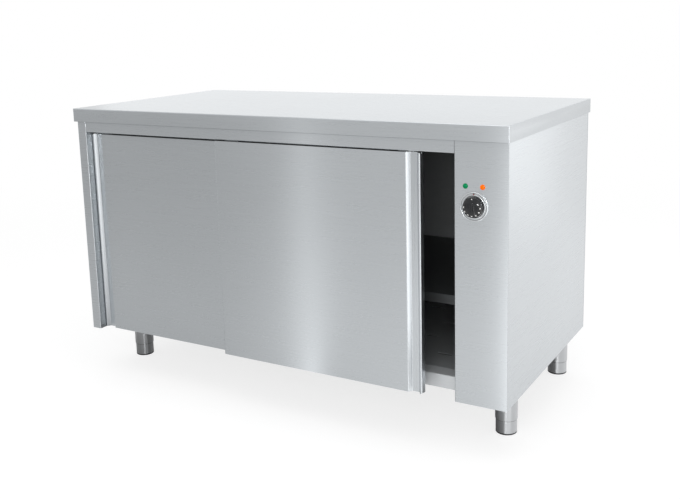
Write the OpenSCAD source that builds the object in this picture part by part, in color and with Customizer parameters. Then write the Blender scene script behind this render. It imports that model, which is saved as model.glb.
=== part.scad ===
// Heated plate cabinet: a folded sheet-steel body on four adjustable legs, with two
// hanging sliding doors, a shelf, heaters under the floor and a control column on the right.
// Millimetres. X runs right, the doors face -Y, Z is up, and the origin is on the floor
// under the middle of the worktop.

/* [Overall] */
// Width of the worktop
top_w = 1400; // [1000:10:2000]
// Depth of the worktop
top_d = 700; // [600:10:900]
// Height of the worktop's surface above the floor
overall_h = 850; // [800:5:950]
// Free height under the body
leg_h = 145; // [120:1:180]

/* [Worktop] */
// Height of the worktop's folded edge
edge_h = 40; // [30:1:60]
// Thickness of the worktop's sheet
top_sheet = 1.5; // [1:0.1:2]
// Outer radius of the worktop's upper edges and corners
edge_bend_r = 2.5; // [2:0.1:5]
// Width of the flange turned in under the edge
edge_return = 18; // [14:1:30]
// Overhang of the worktop past each side panel
over_side = 5; // [2:1:12]
// Overhang of the worktop past the body's front
over_front = 10; // [4:1:20]
// Overhang of the worktop past the rear panel
over_rear = 5; // [0:1:12]
// Number of hat-section stiffeners under the top
stiffener_count = 3; // [2:1:4]
// Height of a stiffener
stiffener_h = 28; // [20:1:29]
// Width of a stiffener's crown
stiffener_w = 60; // [40:1:90]
// Distance between stiffeners
stiffener_pitch = 190; // [150:5:210]

/* [Body] */
// Thickness of the body sheets
sheet = 1.2; // [0.8:0.1:1.5]
// Inner radius of the body's bends
bend_r = 1.5; // [1:0.1:3]
// Width of the left column beside the doors
column_w = 33; // [25:1:60]
// Depth of the columns' inner returns
column_return = 55; // [52:1:80]
// Width of the control column
control_w = 137; // [120:1:180]
// Height of the fascia over the doors
fascia_h = 33; // [33:1:60]
// How far the fascia lies behind the columns
fascia_setback = 1.5; // [0.5:0.1:3]
// Distance from the rear panel's face to the inner rear wall
rear_gap = 30; // [25:1:60]
// Width of the flanges that stiffen the panels
flange = 15; // [10:1:20]
// Height of the bottom pan's upturned edge
pan_edge = 25; // [15:1:30]

/* [Floor and shelf] */
// Distance from the body's front to the bottom rail
rail_setback = 65; // [60:1:90]
// Height of the bottom rail
rail_h = 36; // [30:1:50]
// Depth of the rail's top ledge
rail_ledge = 47; // [30:1:60]
// Length of a warm-air slot
slot_len = 44; // [30:1:60]
// Width of a warm-air slot
slot_w = 8; // [5:0.5:12]
// Distance between slots along the floor
slot_pitch = 90; // [75:1:120]
// Distance between rows of slots
slot_row_pitch = 120; // [90:1:150]
// Height of the shelf above the floor of the room
shelf_z = 390; // [340:5:600]
// Height of the shelf's folded edge
shelf_edge = 25; // [20:1:35]
// Distance from the body's front to the shelf
shelf_setback = 95; // [80:1:140]
// Gap between the shelf and the walls
shelf_gap = 1; // [0.5:0.1:3]
// Leg of the angle that carries the shelf
angle_leg = 20; // [15:1:30]

/* [Doors] */
// Overlap of the two shut doors
door_overlap = 48; // [48:1:80]
// Thickness of each door
door_t = 20; // [20:0.5:26]
// Gap between the two doors
door_gap = 5; // [4:0.5:10]
// Sheet thickness of the doors
door_sheet = 1; // [0.8:0.1:1.2]
// How far the front door stands in front of the columns
door_proud = 1; // [0:0.5:3]
// Gap between a shut door and its column
door_side_gap = 1; // [0.5:0.5:3]
// Gap between the front door and the fascia
door_top_gap = 3; // [2:0.5:8]
// How much lower the rear door's upper edge lies than the front door's
rear_door_drop = 5; // [0:0.5:8]
// How far the doors' lower edges lie above the body's
door_bottom_gap = 1.5; // [1:0.5:5]
// How far the right door stands open
door_open = 89; // [0:1:380]
// Inner radius of the doors' bends
door_bend_r = 2; // [0.5:0.1:2]
// Thickness of the insulation in a door
core_t = 14.5; // [10:0.5:14.5]

/* [Door grips] */
// Flat land between the door's face and its grip
grip_land = 2; // [1.5:0.5:4]
// Width of the slope down into the grip
grip_slope = 8; // [5:0.5:12]
// Width of the grip's floor
grip_floor = 20; // [15:1:30]
// Width of the slope up to the lip
lip_slope = 6; // [4:0.5:10]
// Width of the lip
lip_w = 5; // [4:0.5:8]
// Depth of the grip
grip_depth = 10; // [6:0.5:11]
// Radius of the lip's corners
lip_corner_r = 4; // [2:0.5:4.5]

/* [Door running gear] */
// Radius of a roller
roller_r = 12; // [9:0.5:12]
// Width of a roller
roller_w = 6; // [4:0.5:6]
// Diameter of a roller's axle
axle_d = 6; // [4:0.5:8]
// Radial clearance of the rollers and the shaft
running_fit = 0.05; // [0.02:0.01:0.1]
// Thickness of a hanger plate
hanger_t = 3; // [2:0.5:4]
// Width of a hanger plate
hanger_w = 44; // [30:1:60]
// Length of a hanger plate inside the door
hanger_depth = 55; // [40:1:80]
// Distance from a door's edge to its hangers
hanger_inset = 45; // [35:1:80]
// Wall thickness of the tracks
track_t = 1.5; // [1:0.1:2]
// Outer width of each track
track_w = 24; // [23.5:0.1:24.5]
// Width of the slot between a track's lips
track_slot = 7; // [6:0.5:9]
// Radius of the rubber buffers
buffer_r = 8; // [5:0.5:9]
// Thickness of a guide fin
fin_t = 4; // [2:0.5:5]
// Length of a guide fin
fin_len = 40; // [20:1:42]
// Height of a guide fin above its bracket
fin_h = 9; // [6:0.5:11]
// Distance from a door's face to its guide slot's middle
fin_y = 15; // [14.5:0.1:15.5]

/* [Controls] */
// Distance from the control column's inner edge to the knob
knob_inset = 51; // [42:1:85]
// Height of the knob's axis
knob_z = 651; // [400:1:700]
// Diameter of the knob's dial
knob_d = 52; // [40:1:54]
// Height of the dial's face above the column
dial_face = 14; // [10:0.5:16]
// Diameter of the bezel round the knob
bezel_d = 73; // [64:1:80]
// How far the knob stands out of the column
knob_proud = 22; // [18:0.5:30]
// Distance between the pilot lamps
lamp_pitch = 44; // [30:1:60]
// Height of the pilot lamps above the knob's axis
lamp_rise = 49; // [45:0.5:70]
// Diameter of a pilot lamp's lens
lamp_d = 13; // [12:0.5:16]

/* [Legs] */
// Outer diameter of the leg sleeves
sleeve_d = 60; // [40:1:64]
// Wall thickness of the leg sleeves
sleeve_t = 2.5; // [1.5:0.1:4]
// Diameter of the adjustable feet
foot_d = 57; // [38:0.5:60]
// Height of the foot below the sleeve
foot_h = 40; // [35:1:60]
// Height of the foot's plastic pad
pad_h = 4.5; // [3:0.5:8]
// Diameter of the foot's threaded stem
stem_d = 16; // [12:1:20]
// Distance that a foot can be screwed out
foot_travel = 30; // [10:1:35]
// Distance from the left side to the left legs
leg_left = 38; // [35:1:120]
// Distance from the right side to the right legs
leg_right = 68; // [35:1:120]
// Distance from the body's front to the front legs
leg_front = 188; // [110:1:220]
// Distance from the rear panel to the rear legs
leg_rear = 38; // [35:1:120]

/* [Heaters] */
// Diameter of the heater tubes
heater_d = 8.5; // [6:0.5:10]
// Distance between the two runs of a heater
heater_span = 80; // [60:1:110]
// Distance from the left wall to the heaters' bends
heater_inset = 300; // [20:5:400]
// Distance between the two heaters
heater_pitch = 220; // [160:5:260]
// Height of the heaters above the pan
heater_rise = 16; // [12:0.5:20]

/* [Hidden] */
$fn = 48;

steel = "gainsboro";
steel_edge = "silver";
inside_steel = "dimgray";

// Clearance between pieces that must not touch
gap = 0.3;
// Overlap that lets a cut pass right through
over = 1;
// Overlap of flats and bends in folds that aren't square
fold_lap = 0.05;

// Planes of the body
x_side = top_w / 2 - over_side;
y_front = -top_d / 2 + over_front;
y_rear = top_d / 2 - over_rear;
z_low = leg_h;
z_high = overall_h - edge_h;
x_left = -x_side + column_w;
x_right = x_side - control_w;
z_head = z_high - fascia_h;
y_inner_rear = y_rear - rear_gap;
y_return = y_front + column_return;
y_rail = y_front + rail_setback;
z_ledge = z_low + rail_h;
z_pan = z_low + sheet;
y_ledge = y_rail + rail_ledge;

// Doors, each drawn from its plain edge with its face at y = 0
door_z = z_low + door_bottom_gap;
right_door_h = z_head - door_top_gap - door_z;
left_door_h = right_door_h - rear_door_drop;
door_pitch = door_t + door_gap;
y_right_door = y_front - door_proud;
y_left_door = y_right_door + door_pitch;
door_w = (x_right - x_left - 2 * door_side_gap + door_overlap) / 2;
x_right_door = x_right - door_side_gap - door_open;
x_left_door = x_left + door_side_gap;
grip_w = grip_land + grip_slope + grip_floor + lip_slope + lip_w;
face_w = door_w - grip_w;
grip_bend_r = min(door_bend_r, lip_w - 2.5);
hanger_y = door_t - door_sheet - hanger_t / 2;
fin_room = fin_h + 4;

// Tracks: their lips carry the rollers
track_z = z_head + 2;
track_gap = door_pitch - track_w;
z_lip = track_z + track_t;
axle_z = z_lip + gap + roller_r;
roller_headroom = 2.2;
track_top = axle_z + roller_r + roller_headroom;
ceiling_z = track_top + track_t;
track_h = ceiling_z - track_z;
hub_gap = 0.75;
roller_in = hanger_t / 2 + hub_gap;
roller_out = roller_in + roller_w;
axle_head_t = 1;
axle_end = roller_out + 0.15;
axle_head_d = axle_d + 3;
buffer_len = door_side_gap + hanger_inset - roller_r - gap;
guide_x = (x_right + x_left) / 2;
bracket_t = 2.5;

// Controls
knob_x = x_right + knob_inset;
lamp_z = knob_z + lamp_rise;
lamp_body_d = 10;
shaft_d = 6;
shaft_out = 12;
bush_d = 10;
thermostat_t = 34;

// Legs
leg_places = [
    [-x_side + leg_left, y_front + leg_front],
    [x_side - leg_right, y_front + leg_front],
    [-x_side + leg_left, y_rear - leg_rear],
    [x_side - leg_right, y_rear - leg_rear]
];
nut_z = foot_h + 20;
nut_t = 8;

// Rear fittings
gland_x = x_side - 55;
gland_z = z_low + 115;
gland_bore_r = 4.5;
bond_x = gland_x - 60;
vent_count = 8;
vent_pitch = 14;
vent_top = 90;
vent_len = 70;
vent_w = 5;

function unit(v) = v / norm(v);
function normal(v) = [-v[1], v[0]];
function turn(p, i) = let(a = p[i] - p[i - 1], b = p[i + 1] - p[i])
    atan2(a[0] * b[1] - a[1] * b[0], a[0] * b[0] + a[1] * b[1]);
function setback(p, i, r) = (i == 0 || i == len(p) - 1) ? 0 : r * tan(abs(turn(p, i)) / 2);

// A box between two corners
module block(x, y, z) {
    translate([x[0], y[0], z[0]]) cube([x[1] - x[0], y[1] - y[0], z[1] - z[0]]);
}

// Section of a sheet of thickness t folded along the middle line p with inner radius r.
// Where the folds aren't square, the flats reach into the bends by lap.
module folded(p, t, r, lap = 0) {
    rc = r + t / 2;
    last = len(p) - 1;
    for (i = [0 : last - 1]) {
        d = unit(p[i + 1] - p[i]);
        n = normal(d) * t / 2;
        a = p[i] + d * (setback(p, i, rc) - (i == 0 ? 0 : lap));
        b = p[i + 1] - d * (setback(p, i + 1, rc) - (i + 1 == last ? 0 : lap));
        polygon([a - n, b - n, b + n, a + n]);
    }
    for (i = [1 : last - 1]) bend(p, i, t, rc);
}

// The bend at corner i of the same section
module bend(p, i, t, rc) {
    side = sign(turn(p, i));
    d0 = unit(p[i] - p[i - 1]);
    d1 = unit(p[i + 1] - p[i]);
    c = p[i] - d0 * setback(p, i, rc) + normal(d0) * rc * side;
    out0 = -normal(d0) * side;
    out1 = -normal(d1) * side;
    reach = 3 * (rc + t);
    intersection() {
        translate(c) difference() {
            circle(rc + t / 2);
            circle(rc - t / 2);
        }
        polygon([c, c + out0 * reach, c + unit(out0 + out1) * reach, c + out1 * reach]);
    }
}

// Extrusions of a section given as [x, z] along Y, and as [y, z] along X
module along_y(y) {
    translate([0, y[1], 0]) rotate([90, 0, 0]) linear_extrude(y[1] - y[0]) children();
}
module along_x(x) {
    translate([x[0], 0, 0]) rotate([90, 0, 90]) linear_extrude(x[1] - x[0]) children();
}

// A turned shape whose axis points to the front, from the column's face
module turned_to_front(x, z) {
    translate([x, y_front, z]) rotate([90, 0, 0]) rotate_extrude() children();
}

// Rectangle with rounded upper corners
module edge_profile(w, h, r) {
    translate([-w / 2, 0]) square([w, h - r]);
    translate([-w / 2 + r, 0]) square([w - 2 * r, h]);
    for (s = [-1, 1]) translate([s * (w / 2 - r), h - r]) circle(r);
}

// Slot with round ends, along X
module slot(len, w) {
    square([len - w, w], center = true);
    for (s = [-1, 1]) translate([s * (len - w) / 2, 0]) circle(w / 2);
}

// Rectangle with four rounded corners
module corner_plan(w, d, r) {
    square([w - 2 * r, d], center = true);
    square([w, d - 2 * r], center = true);
    for (x = [-1, 1], y = [-1, 1]) translate([x * (w / 2 - r), y * (d / 2 - r)]) circle(r);
}

// Outer form of the worktop, or its hollow, with every edge and corner rounded
module top_form(inset, h) {
    r = edge_bend_r - inset;
    intersection() {
        along_y([-top_d / 2 + inset, top_d / 2 - inset]) edge_profile(top_w - 2 * inset, h, r);
        along_x([-top_w / 2 + inset, top_w / 2 - inset]) edge_profile(top_d - 2 * inset, h, r);
        linear_extrude(h) corner_plan(top_w - 2 * inset, top_d - 2 * inset, r);
    }
}

module worktop() {
    mouth_w = top_w - 2 * edge_return;
    mouth_d = top_d - 2 * edge_return;
    color(steel) translate([0, 0, z_high]) difference() {
        top_form(0, edge_h);
        translate([0, 0, top_sheet]) top_form(top_sheet, edge_h - 2 * top_sheet);
        translate([-mouth_w / 2, -mouth_d / 2, -over]) cube([mouth_w, mouth_d, top_sheet + 2 * over]);
    }
}

module worktop_stiffeners() {
    t = top_sheet;
    z = overall_h - top_sheet - t / 2;
    low = z - stiffener_h + t;
    half = stiffener_w / 2;
    length = top_w - 2 * edge_return - 20;
    first = -(stiffener_count - 1) / 2 * stiffener_pitch;
    color(steel_edge) for (i = [0 : stiffener_count - 1]) {
        y = first + i * stiffener_pitch;
        along_x([-length / 2, length / 2]) folded([
            [y - half - flange, z], [y - half, z], [y - half + 3, low],
            [y + half - 3, low], [y + half, z], [y + half + flange, z]], t, bend_r, fold_lap);
    }
}

// Flange under the worktop along a side panel, drawn for the left side
module side_top_flange() {
    block([-x_side + sheet / 2, -x_side + flange + 7],
          [y_front + 5, y_rear - 2 * sheet], [z_high - sheet, z_high]);
}

module left_side_panel() {
    h = sheet / 2;
    color(steel) {
        translate([0, 0, z_low]) linear_extrude(z_high - z_low) folded([
            [-x_side + flange, y_rear - sheet - h], [-x_side + h, y_rear - sheet - h],
            [-x_side + h, y_front + h], [x_left - h, y_front + h],
            [x_left - h, y_return]], sheet, bend_r);
        side_top_flange();
    }
}

module right_side_panel() {
    h = sheet / 2;
    color(steel) {
        translate([0, 0, z_low]) linear_extrude(z_high - z_low) folded([
            [x_side - flange, y_rear - sheet - h], [x_side - h, y_rear - sheet - h],
            [x_side - h, y_front + sheet + h], [x_side - flange, y_front + sheet + h]],
            sheet, bend_r);
        mirror([1, 0, 0]) side_top_flange();
    }
}

screw_places = concat(
    [for (x = [-1, -0.5, 0, 0.5, 1]) [x * (x_side - flange / 2), z_high - 30]],
    [for (x = [-1, -0.5, 0, 0.5, 1]) [x * (x_side - flange / 2), z_low + 12]],
    [for (x = [-1, 1]) [x * (x_side - flange / 2), (z_low + z_high) / 2]]);
screw_d = 4;

module rear_panel() {
    color(steel) along_y([y_rear - sheet, y_rear]) difference() {
        translate([-x_side, z_low]) square([2 * x_side, z_high - z_low]);
        translate([gland_x, gland_z]) circle(d = 20.4);
        translate([bond_x, gland_z]) circle(d = 6.4);
        for (p = screw_places) translate(p) circle(d = screw_d + 0.4);
        for (i = [0 : vent_count - 1])
            translate([x_side - control_w / 2, z_high - vent_top - vent_pitch * i])
                slot(vent_len, vent_w);
    }
}

// Pan-head screws that hold the rear panel
module rear_panel_screws() {
    color(steel_edge) for (p = screw_places)
        translate([p[0], y_rear, p[1]]) rotate([-90, 0, 0]) rotate_extrude() {
            translate([0, -sheet]) square([screw_d / 2, sheet + over]);
            intersection() {
                translate([0, -2.6]) circle(5);
                square([4, 2.4]);
            }
        }
}

module control_panel() {
    h = sheet / 2;
    color(steel) difference() {
        translate([0, 0, z_low]) linear_extrude(z_high - z_low) folded([
            [x_right + h, y_return], [x_right + h, y_front + h], [x_side, y_front + h]],
            sheet, bend_r);
        for (s = [-1, 1]) translate([knob_x + s * lamp_pitch / 2, y_front - over, lamp_z])
            rotate([-90, 0, 0]) cylinder(d = lamp_body_d + 0.4, h = sheet + 2 * over);
        translate([knob_x, y_front - over, knob_z])
            rotate([-90, 0, 0]) cylinder(d = bush_d + 0.4, h = sheet + 2 * over);
    }
}

module fascia() {
    h = sheet / 2;
    y = y_front + fascia_setback + h;
    color(steel) along_x([x_left + gap, x_right - gap]) folded([
        [y + flange, z_high - h], [y, z_high - h], [y, z_head + h], [y + flange / 2, z_head + h]],
        sheet, bend_r);
}

module track_section() {
    inner = track_w - 2 * track_t;
    difference() {
        square([track_w, track_h]);
        translate([track_t, track_t]) square([inner, track_h - 2 * track_t]);
        translate([(track_w - track_slot) / 2, -over]) square([track_slot, track_t + 2 * over]);
    }
}

// Double track, joined by its top
module door_tracks() {
    y = y_right_door + hanger_y - track_w / 2;
    color(steel_edge) along_x([x_left + gap, x_right - gap]) translate([y, track_z]) {
        track_section();
        translate([door_pitch, 0]) track_section();
        translate([track_w - over, track_h - track_t]) square([track_gap + 2 * over, track_t]);
    }
}

module track_buffers() {
    color("dimgray") for (y = [y_right_door, y_left_door]) {
        translate([x_left, y + hanger_y, axle_z]) rotate([0, 90, 0]) buffer();
        translate([x_right, y + hanger_y, axle_z]) rotate([0, -90, 0]) buffer();
    }
}

// Rubber buffer with a rounded nose
module buffer() {
    nose = 2;
    rotate_extrude() {
        square([buffer_r, buffer_len - nose]);
        square([buffer_r - nose, buffer_len]);
        translate([buffer_r - nose, buffer_len - nose]) circle(nose);
    }
}

// Starts behind the fascia's upper flange
module cavity_ceiling() {
    front = y_front + fascia_setback + sheet / 2 + flange + gap;
    color(inside_steel) translate([0, 0, ceiling_z]) linear_extrude(sheet) polygon([
        [x_left - sheet, y_return], [x_left + gap, y_return], [x_left + gap, front],
        [x_right - gap, front], [x_right - gap, y_return], [x_right + sheet, y_return],
        [x_right + sheet, y_inner_rear + sheet], [x_left - sheet, y_inner_rear + sheet]]);
}

// Notch in the foot of an inner wall for the pan's upturned front edge
module pan_notch(x) {
    block([x[0] - over, x[1] + over], [y_return - over, y_rail + 2 * sheet + gap],
          [z_pan - over, z_low + pan_edge + gap]);
}

module left_inner_wall() {
    x = [x_left - sheet, x_left];
    color(inside_steel) difference() {
        block(x, [y_return, y_inner_rear + sheet], [z_pan, ceiling_z]);
        pan_notch(x);
    }
}

x_heater = x_right + 25;
heater_len = x_heater - x_left - heater_inset - (heater_span + heater_d) / 2;
heater_places = [for (h = [-1, 1]) (y_ledge + y_inner_rear) / 2 + h * heater_pitch / 2];
heater_runs = [for (y = heater_places, s = [-1, 1]) y + s * heater_span / 2];
heater_z = z_pan + heater_rise;
sensor_y = 80;
sensor_x = x_right - 14;
sensor_z = z_head + 16;
bulb_d = 6;
bulb_len = 90;
bulb_y = sensor_y + 20;

module partition_wall() {
    x = [x_right, x_right + sheet];
    color(inside_steel) difference() {
        block(x, [y_return, y_rear - 3 * sheet - gap], [z_pan, ceiling_z]);
        pan_notch(x);
        for (y = heater_runs) translate([x_right - over, y, heater_z])
            rotate([0, 90, 0]) cylinder(d = heater_d + 2 * gap, h = sheet + 2 * over);
        translate([x_right - over, sensor_y, sensor_z])
            rotate([0, 90, 0]) cylinder(d = 4, h = sheet + 2 * over);
    }
}

module rear_inner_wall() {
    color(inside_steel)
        block([x_left, x_right], [y_inner_rear, y_inner_rear + sheet], [z_pan, ceiling_z]);
}

// Plan of the bottom pan: it closes the columns and stays clear of the doors, and its
// cut corners clear the panels' bends
module pan_plan(inset) {
    w = x_side - sheet - inset;
    left = x_left - sheet - inset;
    right = x_right + sheet + inset;
    rear = y_rear - 2 * sheet - inset;
    front = y_front + 2 * sheet + inset;
    mid = y_rail + sheet + inset;
    c = bend_r;
    polygon([[-w, front + c], [-w + c, front], [left - c, front], [left, front + c],
             [left, mid], [right, mid],
             [right, front + c], [right + c, front], [w - c, front], [w, front + c],
             [w, rear - c], [w - c, rear], [c - w, rear], [-w, rear - c]]);
}

module bottom_pan() {
    color(steel) translate([0, 0, z_low]) difference() {
        linear_extrude(pan_edge) pan_plan(0);
        translate([0, 0, sheet]) linear_extrude(pan_edge) pan_plan(sheet);
    }
}

module front_rail() {
    h = sheet / 2;
    color(steel) along_x([x_left + gap, x_right - gap]) folded([
        [y_rail + h, z_low], [y_rail + h, z_ledge - h], [y_ledge - h, z_ledge - h],
        [y_ledge - h, z_ledge - 10]], sheet, bend_r);
}

// Cover over the heaters, with rows of slots that let the warm air out
module heater_cover() {
    h = sheet / 2;
    front = y_ledge + 2;
    rear = y_inner_rear - 2;
    z = z_ledge - sheet - h;
    mid = (front + rear) / 2;
    count = floor((x_right - x_left - slot_pitch) / slot_pitch);
    color(inside_steel) difference() {
        along_x([x_left + gap, x_right - gap]) folded([
            [front + h, z_pan], [front + h, z], [rear - h, z], [rear - h, z_pan]], sheet, bend_r);
        translate([(x_left + x_right) / 2, mid, z - sheet])
            linear_extrude(2 * sheet) for (row = [-1.5 : 1 : 1.5], i = [0 : count - 1])
                translate([(i - (count - 1) / 2) * slot_pitch, row * slot_row_pitch])
                    slot(slot_len, slot_w);
    }
}

module mid_shelf() {
    x = [x_left + shelf_gap, x_right - shelf_gap];
    y = [y_front + shelf_setback, y_inner_rear - shelf_gap];
    color(inside_steel) difference() {
        block(x, y, [shelf_z - shelf_edge, shelf_z]);
        block([x[0] + sheet, x[1] - sheet], [y[0] + sheet, y[1] - sheet],
              [shelf_z - shelf_edge - over, shelf_z - sheet]);
    }
}

// Angles on the side walls that carry the shelf
module shelf_supports() {
    t = 1.5;
    z = shelf_z - shelf_edge - t / 2;
    low = z - angle_leg + t / 2;
    y = [y_front + shelf_setback + 5, y_inner_rear - 10];
    color(inside_steel) along_y(y) {
        folded([[x_left + t / 2, low], [x_left + t / 2, z], [x_left + angle_leg, z]], t, bend_r);
        folded([[x_right - t / 2, low], [x_right - t / 2, z], [x_right - angle_leg, z]], t, bend_r);
    }
}

// Two hairpin heaters whose ends pass into the control compartment
module heating_elements() {
    color("darkslategray") for (y = heater_places) translate([x_heater - heater_len, y, heater_z]) {
        for (s = [-1, 1]) translate([0, s * heater_span / 2, 0])
            rotate([0, 90, 0]) cylinder(d = heater_d, h = heater_len);
        rotate([0, 0, 90])
            rotate_extrude(angle = 180) translate([heater_span / 2, 0]) circle(d = heater_d);
    }
}

// Upright plates on the pan that hold the heaters
module heater_brackets() {
    t = 2;
    w = heater_span + 3 * heater_d;
    first = x_heater - heater_len + 95;
    last = x_right - 60;
    color("silver") for (y = heater_places, k = [0 : 2])
        translate([first + k * (last - first) / 2, y, z_pan]) difference() {
            translate([0, -w / 2, 0]) cube([t, w, heater_rise + heater_d]);
            for (s = [-1, 1]) translate([-over, s * heater_span / 2, heater_rise])
                rotate([0, 90, 0]) cylinder(d = heater_d + 2 * gap, h = t + 2 * over);
        }
}

// Capillary thermostat: its body behind the column, its bush through the face
module thermostat() {
    depth = thermostat_t;
    bush_out = 4;
    color("ivory") translate([knob_x, y_front, knob_z]) difference() {
        union() {
            translate([-21, sheet, -21]) cube([42, depth, 42]);
            rotate([90, 0, 0]) translate([0, 0, -sheet - over])
                cylinder(d = bush_d, h = sheet + over + bush_out);
        }
        rotate([90, 0, 0]) translate([0, 0, -depth + 8])
            cylinder(d = shaft_d + 2 * running_fit, h = depth + bush_out);
    }
}

bezel_t = 1.2;

// Round bead on the bezel's plate, at radius c, of half-width w
module bezel_bead(c, w) {
    intersection() {
        translate([c, bezel_t]) circle(w);
        translate([c - w, 0]) square([2 * w, bezel_t + w]);
    }
}

// Ring round the knob: a plate with a bead beside the dial and a wider one at its rim
module dial_bezel() {
    r = bezel_d / 2;
    hole = bush_d / 2 + gap;
    rim = 2.3;
    inner = 1.7;
    color("whitesmoke") turned_to_front(knob_x, knob_z) {
        translate([hole, 0]) square([r - hole, bezel_t]);
        bezel_bead(r - rim, rim);
        bezel_bead(knob_d / 2 + 1 + inner, inner);
    }
}

// Pilot lamp: snap-in body with a domed lens
module pilot_lamp(side) {
    r = lamp_d / 2;
    dome = 2 * r;
    rise = 3.6;
    turned_to_front(knob_x + side * lamp_pitch / 2, lamp_z) {
        square([r, 1.2]);
        translate([0, -26]) square([lamp_body_d / 2, 27]);
        intersection() {
            translate([0, rise - dome]) circle(dome, $fn = 96);
            square([r - 0.6, rise]);
        }
    }
}
module green_lamp() { color("mediumseagreen") pilot_lamp(-1); }
module orange_lamp() { color("darkorange") pilot_lamp(1); }

// Knob: a drum with a rounded shoulder, a flat dial face and a moulded grip bar on it
module knob() {
    r = knob_d / 2;
    base = bezel_t + gap + 0.5;
    shoulder = 2;
    bar_w = 12;
    bar_r = r - 8;
    color("#202224") translate([knob_x, y_front, knob_z]) rotate([90, 0, 0]) difference() {
        union() {
            rotate_extrude() {
                polygon([[0, base], [r - 1, base], [r, base + 1], [r, dial_face - shoulder],
                         [r - shoulder, dial_face], [0, dial_face]]);
                translate([r - shoulder, dial_face - shoulder]) circle(shoulder);
            }
            intersection() {
                translate([0, 0, dial_face - 2])
                    cylinder(r = bar_r, h = knob_proud - dial_face + 2);
                translate([-bar_w / 2, 0, 0]) rotate([90, 0, 90])
                    linear_extrude(bar_w) bar_side(bar_r);
                rotate([90, 0, 0]) translate([0, 0, -r]) linear_extrude(2 * r) bar_end(bar_w);
            }
        }
        translate([0, 0, base - over])
            cylinder(d = shaft_d + 2 * running_fit, h = shaft_out + 1 - base + over);
        translate([0, 0, base - over]) cylinder(d = bush_d + 2, h = over + 3.4);
    }
}

// Side of the grip bar, as [y, z]
module bar_side(r) {
    polygon([[-r, 0], [r, 0], [r - 3, knob_proud - 5], [r - 7, knob_proud],
             [-r + 7, knob_proud], [-r + 3, knob_proud - 5]]);
}

// Cross-section of the grip bar, as [x, z], a little hollow at its flanks
module bar_end(w) {
    difference() {
        translate([-w / 2, 0]) square([w, knob_proud]);
        for (s = [-1, 1]) translate([s * (w / 2 + 12), knob_proud - 4]) circle(14);
    }
}

module thermostat_shaft() {
    back = 24;
    color("silver") translate([knob_x, y_front, knob_z]) rotate([90, 0, 0]) difference() {
        translate([0, 0, -back]) cylinder(d = shaft_d, h = back + shaft_out);
        translate([-shaft_d, shaft_d / 2 - 1.2, 5]) cube([2 * shaft_d, shaft_d, shaft_out]);
    }
}

// Capillary route, from the bulb to the thermostat
capillary = [
    [sensor_x, bulb_y, sensor_z], [sensor_x, sensor_y, sensor_z],
    [x_right + 18, sensor_y, sensor_z], [x_right + 18, y_front + 110, knob_z + 60],
    [knob_x, y_front + 55, knob_z], [knob_x, y_front + sheet + thermostat_t, knob_z]
];

module rod(a, b, d) {
    v = b - a;
    translate(a) rotate([0, acos(v[2] / norm(v)), atan2(v[1], v[0])]) cylinder(d = d, h = norm(v));
}

module temperature_sensor() {
    d = 1.6;
    color("peru") {
        rod(capillary[0] + [0, bulb_len, 0], capillary[0], bulb_d);
        for (i = [0 : len(capillary) - 2]) rod(capillary[i], capillary[i + 1], d);
        for (i = [1 : len(capillary) - 2]) translate(capillary[i]) sphere(d = d + 0.3);
    }
}

// Clips that hold the bulb to the partition wall
module sensor_clips() {
    clip_w = 8;
    wall = 2;
    half = bulb_d / 2 + wall;
    color("silver") for (y = [bulb_y + 18, bulb_y + 68]) difference() {
        block([sensor_x - half, x_right], [y, y + clip_w], [sensor_z - half, sensor_z + half]);
        translate([sensor_x, y - over, sensor_z]) rotate([-90, 0, 0])
            cylinder(d = bulb_d + 2 * gap, h = clip_w + 2 * over);
    }
}

// Mains terminal block on the partition wall
module terminal_block() {
    ways = 5;
    pitch = 12;
    thick = 18;
    half = 11;
    x0 = x_right + sheet;
    y0 = y_inner_rear - 90;
    color("ivory") difference() {
        block([x0, x0 + thick], [y0, y0 + ways * pitch], [gland_z - half, gland_z + half]);
        for (i = [0 : ways - 1]) translate([x0 + thick / 3, y0 + pitch * (i + 0.5), gland_z])
            rotate([0, 90, 0]) cylinder(d = 7, h = thick);
    }
}

// Cable gland through the rear panel, with its locknut inside
module cable_gland() {
    color("dimgray") translate([gland_x, y_rear, gland_z]) rotate([-90, 0, 0]) difference() {
        union() {
            translate([0, 0, -9]) cylinder(d = 20, h = 10);
            cylinder(d = 27.5, h = 6, $fn = 6);
            translate([0, 0, 5]) cylinder(d = 22, h = 4);
            translate([0, 0, 8]) intersection() {
                cylinder(d = 26, h = 12, $fn = 6);
                cylinder(d1 = 27, d2 = 19, h = 12);
            }
            translate([0, 0, -sheet - 5]) cylinder(d = 27.5, h = 5, $fn = 6);
        }
        translate([0, 0, -10]) cylinder(r = gland_bore_r, h = 40);
    }
}

// Stud for bonding the cabinet to its neighbours
module bonding_terminal() {
    color("goldenrod") translate([bond_x, y_rear, gland_z]) rotate([-90, 0, 0]) {
        translate([0, 0, -sheet - 4]) cylinder(d = 6, h = sheet + 19);
        translate([0, 0, -sheet - 4]) cylinder(d = 11.5, h = 4, $fn = 6);
        cylinder(d = 11.5, h = 4, $fn = 6);
        translate([0, 0, 4]) cylinder(d = 12, h = 1);
        translate([0, 0, 5]) cylinder(d = 11.5, h = 4, $fn = 6);
    }
}

// Leg sleeves: tubes with a threaded plate for the foot and a closed top
module leg_sleeves() {
    r = sleeve_d / 2;
    color("silver") for (p = leg_places) translate(p) rotate_extrude() {
        translate([r - sleeve_t, foot_h]) square([sleeve_t, z_low - foot_h]);
        translate([0, z_low - 3]) square([r, 3]);
        translate([stem_d / 2 + running_fit, nut_z])
            square([r - stem_d / 2 - running_fit, nut_t]);
    }
}

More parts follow.
